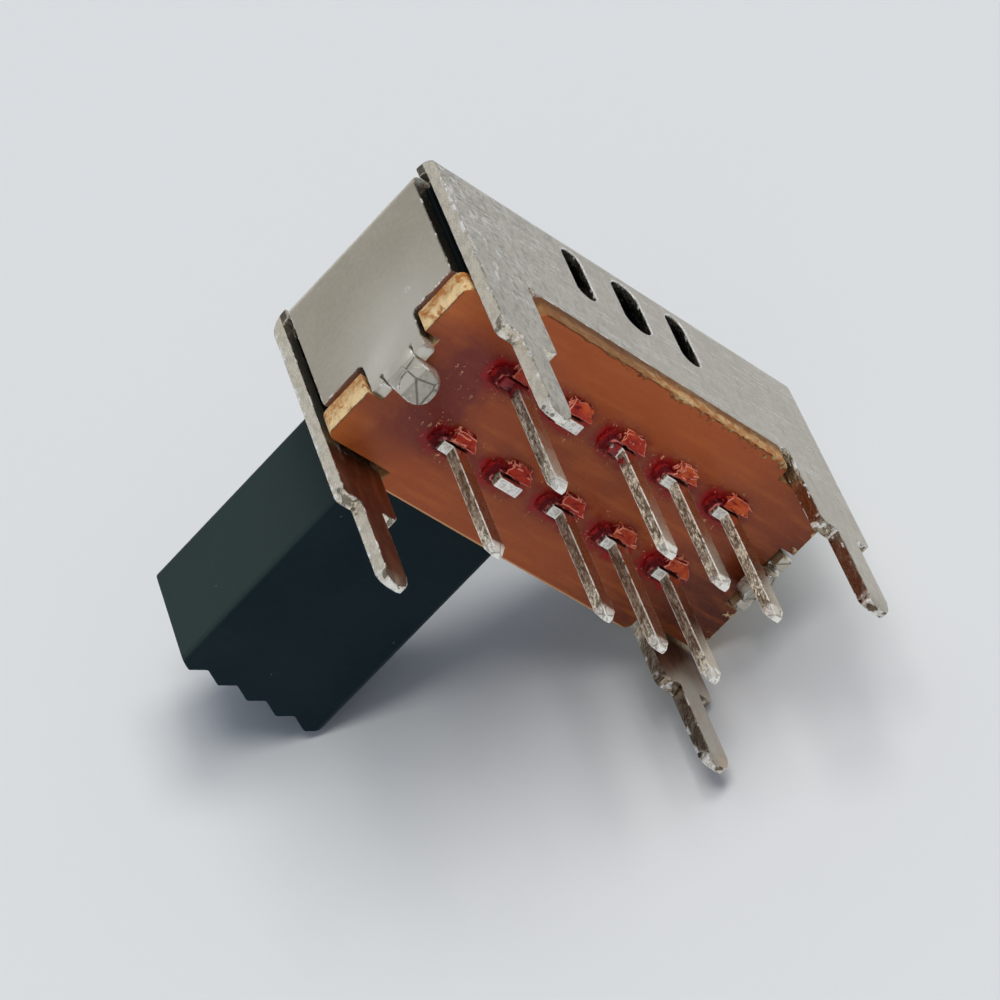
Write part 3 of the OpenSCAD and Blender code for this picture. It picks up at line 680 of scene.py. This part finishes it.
def varnish_finish(settings):
    """Clear red varnish: darkest where it climbs the strips, thin orange varnish brightened as painted light
    on the flaps' faces turned to -Z, painted shade on their other faces, and painted highlights on their
    broken rims and the collars' lips.
    """
    material, n, shader = new_material("red_varnish", Specular_IOR_Level=0.22)
    raised = n.minus(BOARD_LOW.z, n.apart()["Z"])
    flap = n.noted("flap")
    collar = n.minus(1.0, flap)
    facing = n.smooth(n.normal()["Z"], -0.35, -0.75)
    wander = n.noise(2.6, detail=5, roughness=0.62)
    body = n.blend(n.smooth(wander, 0.42, 0.6), settings.thick, srgb(134, 12, 16))
    worn = n.blend(n.smooth(n.noise(0.5), 0.42, 0.58), srgb(190, 52, 30), settings.thin)
    worn = n.tint(worn, srgb(158, 26, 22), n.smooth(wander, 0.46, 0.62), 0.6)
    # Faces of the flaps turned to -Z take the thin orange varnish brightened as painted light, and their
    # other faces get painted shade
    body = n.blend(n.times(flap, facing), body, worn)
    body = n.tint(body, srgb(104, 8, 14), n.times(flap, n.minus(1.0, facing)), 0.8)
    body = n.tint(body, srgb(78, 4, 12), n.times(n.smooth(raised, 0.12, 0.22), collar), 0.85)
    # The collars' lips get a painted highlight in patches
    lip = n.times(n.smooth(raised, 0.3, 0.36), n.smooth(wander, 0.44, 0.58), collar)
    body = n.blend(lip, body, srgb(214, 120, 112))
    # The flaps' broken rims get a painted highlight
    broken = n.times(n.noted("rim"), n.smooth(n.noise(3.5), 0.34, 0.5))
    body = n.tint(body, srgb(250, 158, 128), broken, 0.9)
    roughness = n.plus(0.2, n.times(wander, 0.3))
    # The collars fade out into the stain round them
    grid = n.group("grid", Pitch=PITCH, Row=ROW_Y)
    outer = n.smooth(n.plus(grid["Reach"], n.times(wander, 0.8)), 0.9, 0.62)
    clear = n.plus(n.times(outer, n.plus(0.35, n.smooth(raised, 0.0, 0.08))), flap, clamp=True)
    crumbs = n.noise(4.5, detail=5, roughness=0.68)
    relief = n.plus(n.times(crumbs, 1.6), wander)
    dress(n, shader, relief, 0.045, Base_Color=body, Roughness=roughness, Alpha=clear)
    return material


def plastic_finish(settings):
    """Black moulded plastic with a faint texture and a few scuffs, with painted light on faces turned to +X
    and painted shade inside the shell.
    """
    material, n, shader = new_material("black_plastic", Specular_IOR_Level=0.05)
    cloud = n.smooth(n.noise(0.3, detail=4), 0.3, 0.7)
    body = n.blend(cloud, settings.plastic, srgb(26, 41, 46))
    # Painted light on the faces turned to +X
    body = n.tint(body, srgb(52, 64, 61), n.smooth(n.normal()["X"], 0.6, 0.9), 0.68)
    # Painted shade inside the shell
    within = n.smooth(n.apart()["Y"], -4.2, -3.9)
    body = n.tint(body, srgb(7, 10, 12), within, 0.85)
    scuffs = n.group("scratches", Amount=0.3)["Mask"]
    body = n.tint(body, srgb(70, 84, 86), scuffs, 0.05)
    dust = n.smooth(n.cells(0.8), 0.035, 0.02)
    body = n.tint(body, srgb(120, 132, 134), dust, 0.35)
    grain = n.noise(11.0, detail=4)
    roughness = n.plus(n.times(grain, 0.16), settings.roughness - 0.08)
    relief = n.plus(grain, n.times(n.noise(0.8), 1.5))
    dress(n, shader, relief, 0.006, Base_Color=body, Roughness=roughness)
    return material


def bare_metal_finish(name, light, dark, roughness):
    """Bare spring bronze, ball steel or wire: two tones of one metal with drawing marks."""
    material, n, shader = new_material(name, Metallic=1.0)
    marks = n.noise(5.0, vector=n.stretch(0.4, 3.0, 3.0))
    tone = n.blend(n.smooth(marks, 0.35, 0.7), light, dark)
    dress(n, shader, marks, 0.004, Base_Color=tone, Roughness=n.plus(roughness, n.times(marks, 0.15)))
    return material


# Modelling helpers


def deselect_all():
    if bpy.context.object and bpy.context.object.mode != "OBJECT":
        bpy.ops.object.mode_set(mode="OBJECT")
    bpy.ops.object.select_all(action="DESELECT")


def take_up(piece):
    """Makes a piece the only one selected, and active."""
    deselect_all()
    piece.select_set(True)
    bpy.context.view_layer.objects.active = piece


def add_object(name, data):
    item = bpy.data.objects.new(name, data)
    bpy.context.scene.collection.objects.link(item)
    return item


@contextmanager
def editing(piece):
    """Edit mode on one piece, with everything selected, and object mode again afterwards."""
    take_up(piece)
    bpy.ops.object.mode_set(mode="EDIT")
    select_everything()
    yield
    bpy.ops.object.mode_set(mode="OBJECT")


def select_everything():
    bpy.ops.mesh.select_all(action="SELECT")


def body_holding(node):
    return next(body for body, nodes in BODIES.items() if node in nodes)


def paint(piece, material):
    piece.data.materials.clear()
    piece.data.materials.append(material)


def finish_piece(piece, node, material):
    """Stands a finished piece in for a node, on that node's body."""
    paint(piece, material)
    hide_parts(node)
    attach(piece, body_holding(node))


def worked_copy(node, name):
    """A copy of a node with its triangles merged and its flat faces whole again."""
    piece = add_object(name, frame["nodes"][node].data.copy())
    with editing(piece):
        bpy.ops.mesh.customdata_custom_splitnormals_clear()
        bpy.ops.mesh.remove_doubles(threshold=0.001 * MM)
        bpy.ops.mesh.dissolve_limited(angle_limit=math.radians(0.5))
    return piece


def apply_modifier(piece, kind, **values):
    """Adds a modifier to a piece, sets it and applies it."""
    take_up(piece)
    modifier = piece.modifiers.new(kind.lower(), kind)
    for name, value in values.items():
        setattr(modifier, name, value)
    bpy.ops.object.modifier_apply(modifier=modifier.name)


def note(piece, name, value_of):
    """Notes a value on every face of a piece, for its material to read."""
    attribute = piece.data.attributes.get(name) or piece.data.attributes.new(name, "FLOAT", "FACE")
    for face in piece.data.polygons:
        attribute.data[face.index].value = value_of(face)


def round_edges(piece, radius, angle=40, segments=2):
    """Rounds every sharp edge of a piece and notes the rounded faces as its rim."""
    piece.data.materials.clear()
    piece.data.materials.append(None)
    piece.data.materials.append(None)
    for face in piece.data.polygons:
        face.material_index = 0
    apply_modifier(
        piece, "BEVEL", width=radius, segments=segments, limit_method="ANGLE",
        angle_limit=math.radians(angle), use_clamp_overlap=False, miter_outer="MITER_ARC", material=1,
    )
    note(piece, "rim", lambda face: float(face.material_index))
    for face in piece.data.polygons:
        face.material_index = 0
    bpy.ops.object.shade_smooth_by_angle(angle=math.radians(38))
    apply_modifier(piece, "WEIGHTED_NORMAL", keep_sharp=True, weight=100)


def sheared_share(face):
    """How much of a cut edge a face of the shell is, from 0 to 1."""
    centre = face.center / MM
    if centre.z >= SHELL_HIGH.z - SHEET - 0.25:
        return 0.0
    share = 0.0
    if abs(centre.y) > SHELL_HIGH.y - SHEET - 0.02:
        share = 1 - abs(face.normal.y)
    elif abs(centre.x) > SHELL_HIGH.x - SHEET - 0.02 or centre.z < BOARD_LOW.z + 0.2:
        share = abs(face.normal.y)
    return max(0.0, min(1.0, share * 1.4))


def move_selected(x, y, z):
    bpy.ops.transform.translate(value=(x * MM, y * MM, z * MM))


def grow_selected(x, y, z=1.0):
    bpy.ops.transform.resize(value=(x, y, z), center_override=(0, 0, 0))


# How far each ring of a collar shrinks along X and Y, and how far it moves along Z in millimetres
COLLAR_RINGS = (
    (0.84, 0.82, -0.05), (0.86, 0.74, -0.06), (0.93, 0.8, -0.16), (0.985, 0.95, -0.17), (0.95, 0.88, 0.03),
)


def make_collar():
    """A collar of varnish round a strip: a thin skirt on the board that climbs the strip's four sides."""
    deselect_all()
    bpy.ops.mesh.primitive_plane_add(size=MM)
    collar = bpy.context.object
    with editing(collar):
        bpy.ops.mesh.bevel(offset=0.24 * MM, segments=3, affect="VERTICES")
        select_everything()
        bpy.ops.mesh.delete(type="ONLY_FACE")
        select_everything()
        bpy.ops.mesh.subdivide(number_cuts=3)
        grow_selected(1.7, 1.15)
        for shrink_x, shrink_y, rise in COLLAR_RINGS:
            bpy.ops.mesh.extrude_region_move()
            grow_selected(shrink_x, shrink_y)
            move_selected(0, 0, rise)
        select_everything()
        move_selected(0, 0, 0.02)
        bpy.ops.mesh.select_all(action="DESELECT")
        bpy.ops.mesh.select_non_manifold()
        bpy.ops.mesh.bridge_edge_loops()
        select_everything()
        bpy.ops.mesh.normals_make_consistent(inside=False)
    return collar


def choose(piece, wanted):
    """Selects the vertices of the piece in edit mode whose place in millimetres is wanted."""
    bpy.ops.mesh.select_all(action="DESELECT")
    mesh = bmesh.from_edit_mesh(piece.data)
    for vertex in mesh.verts:
        vertex.select = wanted(vertex.co / MM)
    mesh.select_flush_mode()
    bmesh.update_edit_mesh(piece.data)


def make_flap():
    """A broken flap of varnish along the far long side of the strip: high beside it and low further out."""
    deselect_all()
    bpy.ops.mesh.primitive_cube_add(size=MM)
    flap = bpy.context.object
    with editing(flap):
        grow_selected(1.2, 0.46, 0.44)
        choose(flap, lambda place: place.y > 0.1)
        grow_selected(0.66, 1.0)
        move_selected(0.1, 0, 0)
        choose(flap, lambda place: place.y > 0.1 and place.z < 0)
        move_selected(-0.04, -0.06, 0.2)
        choose(flap, lambda place: place.x < -0.2 and place.z < 0)
        move_selected(0.04, 0, 0.05)
        select_everything()
        bpy.ops.mesh.subdivide(number_cuts=3)
        move_selected(-0.34, 0.5, -0.18)
    return flap


def uneven_copy(pattern, name, place, offset, seed):
    """A copy of a pattern, moved to its place, with its vertices scattered a little."""
    piece = add_object(name, pattern.data.copy())
    with editing(piece):
        bpy.ops.transform.vertex_random(offset=offset * MM, uniform=0.2, normal=0.0, seed=seed)
        bpy.ops.transform.translate(value=place)
    return piece


def place_dab(collar_pattern, flap_pattern, row, number, seed):
    """The dab of varnish round one strip: an uneven collar and its flap, joined."""
    low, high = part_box(f"{row}_seal_{number}")
    row_y = ROW_Y if row == "rear" else -ROW_Y
    place = ((low[0] + high[0]) / 2, row_y * MM, BOARD_LOW.z * MM)
    collar = uneven_copy(collar_pattern, f"varnish_{row}_{number}", place, 0.05, seed)
    apply_modifier(collar, "SUBSURF", levels=2, render_levels=2)
    bpy.ops.object.shade_smooth()
    note(collar, "rim", lambda face: 0.0)
    note(collar, "flap", lambda face: 0.0)
    flap = uneven_copy(flap_pattern, f"flap_{row}_{number}", place, 0.085, seed + 50)
    round_edges(flap, 0.03 * MM)
    note(flap, "flap", lambda face: 1.0)
    collar.data.materials.clear()
    take_up(collar)
    flap.select_set(True)
    bpy.ops.object.join()
    return collar


class SWITCH_OT_shell(bpy.types.Operator):
    """Make the folded steel shell, with worn edges and rough cuts"""

    bl_idname = "slide_switch.shell"
    bl_label = "Make shell"

    def execute(self, context):
        settings = context.scene.slide_switch.shell
        shell = worked_copy("metal_frame", "steel_shell")
        with editing(shell):
            # One ear of a claw is drawn out a little
            choose(shell, lambda place: place.x > 8.1 and 0.7 < place.y < 1.3 and place.z < BOARD_LOW.z - 0.1)
            move_selected(0, -0.04, -0.22)
        round_edges(shell, settings.edge_radius)
        with editing(shell):
            # Corners that the rounding pushed out past the end plates are smoothed back
            choose(shell, lambda place: abs(place.x) > SHELL_HIGH.x + 0.005)
            bpy.ops.mesh.vertices_smooth(factor=1.0, repeat=4)
        note(shell, "sheared", sheared_share)
        finish_piece(shell, "metal_frame", nickel_finish(settings))
        return {"FINISHED"}


class SWITCH_OT_board(bpy.types.Operator):
    """Make the terminal board with its torn paper edges"""

    bl_idname = "slide_switch.board"
    bl_label = "Make terminal board"

    def execute(self, context):
        settings = context.scene.slide_switch.board
        board = worked_copy("terminal_board", "laminate_board")
        round_edges(board, 0.02 * MM, segments=1)
        finish_piece(board, "terminal_board", laminate_finish(settings))
        return {"FINISHED"}


class SWITCH_OT_terminals(bpy.types.Operator):
    """Make the solder terminals with rounded edges"""

    bl_idname = "slide_switch.terminals"
    bl_label = "Make terminals"

    def execute(self, context):
        settings = context.scene.slide_switch.terminals
        material = tin_finish(settings)
        for node in TERMINALS:
            terminal = worked_copy(node, f"tinned_{node}")
            round_edges(terminal, settings.edge_radius)
            finish_piece(terminal, node, material)
        return {"FINISHED"}


class SWITCH_OT_varnish(bpy.types.Operator):
    """Make the dabs of sealing varnish round the terminals"""

    bl_idname = "slide_switch.varnish"
    bl_label = "Make varnish"

    def execute(self, context):
        material = varnish_finish(context.scene.slide_switch.varnish)
        collar = make_collar()
        flap = make_flap()
        for row_index, row in enumerate(ROWS):
            for number in PLACES:
                dab = place_dab(collar, flap, row, number, seed=row_index * 10 + number)
                finish_piece(dab, f"{row}_seal_{number}", material)
        bpy.data.objects.remove(collar)
        bpy.data.objects.remove(flap)
        return {"FINISHED"}


class SWITCH_OT_slider(bpy.types.Operator):
    """Make the moulded slider with its ribbed knob"""

    bl_idname = "slide_switch.slider"
    bl_label = "Make slider"

    def execute(self, context):
        settings = context.scene.slide_switch.slider
        slider = worked_copy("slider", "moulded_slider")
        round_edges(slider, settings.edge_radius, angle=22)
        finish_piece(slider, "slider", plastic_finish(settings))
        return {"FINISHED"}


class SWITCH_OT_inner_parts(bpy.types.Operator):
    """Finish the contact clips, the detent ball and its spring"""

    bl_idname = "slide_switch.inner_parts"
    bl_label = "Finish inner parts"

    def execute(self, context):
        bronze = bare_metal_finish("spring_bronze", srgb(214, 170, 104), srgb(168, 122, 66), 0.3)
        steel = bare_metal_finish("ball_steel", srgb(214, 215, 216), srgb(190, 191, 193), 0.12)
        wire = bare_metal_finish("spring_wire", srgb(160, 161, 163), srgb(112, 112, 114), 0.3)
        for row in ROWS:
            paint(frame["nodes"][f"{row}_contact_clip"], bronze)
        paint(frame["nodes"]["detent_ball"], steel)
        paint(frame["nodes"]["detent_spring"], wire)
        return {"FINISHED"}


# Stage: the switch lies on one long side, so the floor stands upright in the switch's own frame

FLOOR_NORMAL = Vector((0.782, 0.624, 0.0)).normalized()
PICTURE_RIGHT = Vector((-0.70815, 0.66017, -0.25038))
PICTURE_UP = Vector((0.41634, 0.67684, 0.60707))
TO_CAMERA = Vector((0.57024, 0.32566, -0.75417))
CAMERA_PLACE = Vector((0.08912, 0.04751, -0.11268))
CAMERA_LENS = 167.92
MIDDLE = Vector((0, 0, 0.003))
# The floor fades out between these distances, in millimetres
FADE_FROM, FADE_TO = 90.0, 260.0
SKY_STRENGTH = 0.41
WARM = (1, 0.965, 0.91)
# Each key lamp by how far it stands to the right of the switch and towards the camera
KEYS = (("far_key", 0.2, -0.27), ("near_key", -0.04, 0.2))
KEY_SIZE = 0.42
KEY_WATTS = 2.65


def aim(thing, place, target):
    thing.location = place
    thing.rotation_euler = (target - place).to_track_quat("-Z", "Y").to_euler()


def lamp(name, place, size, watts, tint=(1, 1, 1)):
    light = bpy.data.lights.new(name, "AREA")
    light.shape = "DISK"
    light.size = size
    light.energy = watts
    light.color = tint
    holder = add_object(name, light)
    aim(holder, place, MIDDLE)
    return holder


def floor_finish(settings):
    """Plain floor that is open from behind and lets lamps behind it through."""
    material, n, shader = new_material("stage_floor", Roughness=0.9, Specular_IOR_Level=0.1)
    shader.inputs["Base Color"].default_value = settings.floor
    dress(n, shader, n.noise(1.2, detail=4), 0.02)
    path = n.add("LightPath")
    back = n.add("NewGeometry").outputs["Backfacing"]
    reach = n.add("VectorMath", n.position, operation="LENGTH").outputs["Value"]
    unseen = n.most(back, n.smooth(reach, FADE_FROM, FADE_TO))
    unseen = n.times(path.outputs["Is Camera Ray"], unseen)
    through = n.most(unseen, path.outputs["Is Shadow Ray"])
    open_air = n.add("BsdfTransparent")
    mix = n.add("MixShader", through, shader.outputs[0], open_air.outputs[0])
    output = next(node for node in n.tree.nodes if node.type == "OUTPUT_MATERIAL")
    n.link(mix.outputs[0], output.inputs["Surface"])
    return material


class SWITCH_OT_stage(bpy.types.Operator):
    """Set the floor, the lamps, the world and the camera"""

    bl_idname = "slide_switch.stage"
    bl_label = "Set stage"

    def execute(self, context):
        scene = context.scene
        settings = scene.slide_switch.stage
        scene.view_settings.view_transform = "Standard"

        contact = min(
            FLOOR_NORMAL.dot(vertex.co)
            for node in ("slider", "metal_frame")
            for vertex in frame["nodes"][node].data.vertices
        )
        deselect_all()
        bpy.ops.mesh.primitive_plane_add(size=4)
        floor = context.object
        floor.name = "stage_floor"
        floor.rotation_euler = FLOOR_NORMAL.to_track_quat("Z", "Y").to_euler()
        floor.location = FLOOR_NORMAL * contact
        bpy.ops.object.transform_apply(location=True, rotation=True, scale=True)
        paint(floor, floor_finish(settings))
        # The switch leans on its knob, so the floor keeps to the knob as it slides
        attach(floor, body_holding("slider"))

        right = (PICTURE_RIGHT - FLOOR_NORMAL * PICTURE_RIGHT.dot(FLOOR_NORMAL)).normalized()
        near = (TO_CAMERA - FLOOR_NORMAL * TO_CAMERA.dot(FLOOR_NORMAL)).normalized()
        for name, aside, towards in KEYS:
            place = (FLOOR_NORMAL * 0.96 + right * aside + near * towards) * 0.9
            lamp(name, place, KEY_SIZE, KEY_WATTS, WARM).visible_glossy = False
        lamp("overhead", (FLOOR_NORMAL - near * 0.1) * 0.9, 1.1, 1.35, WARM)
        lamp("near_fill", (FLOOR_NORMAL * 0.5 - right * 0.2 + near * 0.9) * 0.55, 0.5, 0.22)
        lamp("back_fill", -FLOOR_NORMAL * 0.4, 0.4, 0.4)
        lamp("top_fill", (Vector((0, 0, 1)) - FLOOR_NORMAL * 0.5) * 0.35, 0.3, 0.2)

        world = bpy.data.worlds.new("studio")
        scene.world = world
        world.use_nodes = True
        n = Nodes(world.node_tree)
        shade = world.node_tree.nodes["Background"]
        path = n.add("LightPath").outputs
        seen = path["Is Camera Ray"]
        tint = n.blend(path["Is Glossy Ray"], settings.sky, settings.sky_glint)
        tint = n.blend(seen, tint, settings.floor)
        n.link(tint, shade.inputs["Color"])
        strength = n.plus(SKY_STRENGTH, n.times(seen, 1 - SKY_STRENGTH))
        n.link(strength, shade.inputs["Strength"])

        camera = add_object("camera", bpy.data.cameras.new("camera"))
        camera.data.lens = CAMERA_LENS
        camera.data.sensor_width = 36
        camera.data.clip_start = 0.005
        camera.data.clip_end = 20
        turn = Matrix((PICTURE_RIGHT, PICTURE_UP, TO_CAMERA)).transposed()
        camera.matrix_world = Matrix.Translation(CAMERA_PLACE) @ turn.to_4x4()
        scene.camera = camera
        return {"FINISHED"}


class SWITCH_PT_panel(bpy.types.Panel):
    bl_label = "Slide Switch"
    bl_idname = "SWITCH_PT_panel"
    bl_space_type = "VIEW_3D"
    bl_region_type = "UI"
    bl_category = "Slide Switch"

    def draw(self, context):
        for operator in OPERATORS:
            self.layout.operator(operator.bl_idname)


SETTINGS = (
    ShellSettings, BoardSettings, TerminalSettings, VarnishSettings,
    SliderSettings, StageSettings, SwitchSettings,
)
OPERATORS = (
    SWITCH_OT_shell, SWITCH_OT_board, SWITCH_OT_terminals, SWITCH_OT_varnish,
    SWITCH_OT_slider, SWITCH_OT_inner_parts, SWITCH_OT_stage,
)


def register():
    for item in (*SETTINGS, *OPERATORS, SWITCH_PT_panel):
        bpy.utils.register_class(item)
    bpy.types.Scene.slide_switch = PointerProperty(type=SwitchSettings)


def unregister():
    del bpy.types.Scene.slide_switch
    for item in reversed((*SETTINGS, *OPERATORS, SWITCH_PT_panel)):
        bpy.utils.unregister_class(item)


def main():
    register()
    bpy.ops.slide_switch.shell()
    bpy.ops.slide_switch.board()
    bpy.ops.slide_switch.terminals()
    bpy.ops.slide_switch.varnish()
    bpy.ops.slide_switch.slider()
    bpy.ops.slide_switch.inner_parts()
    bpy.ops.slide_switch.stage()


if __name__ == "__main__":
    main()
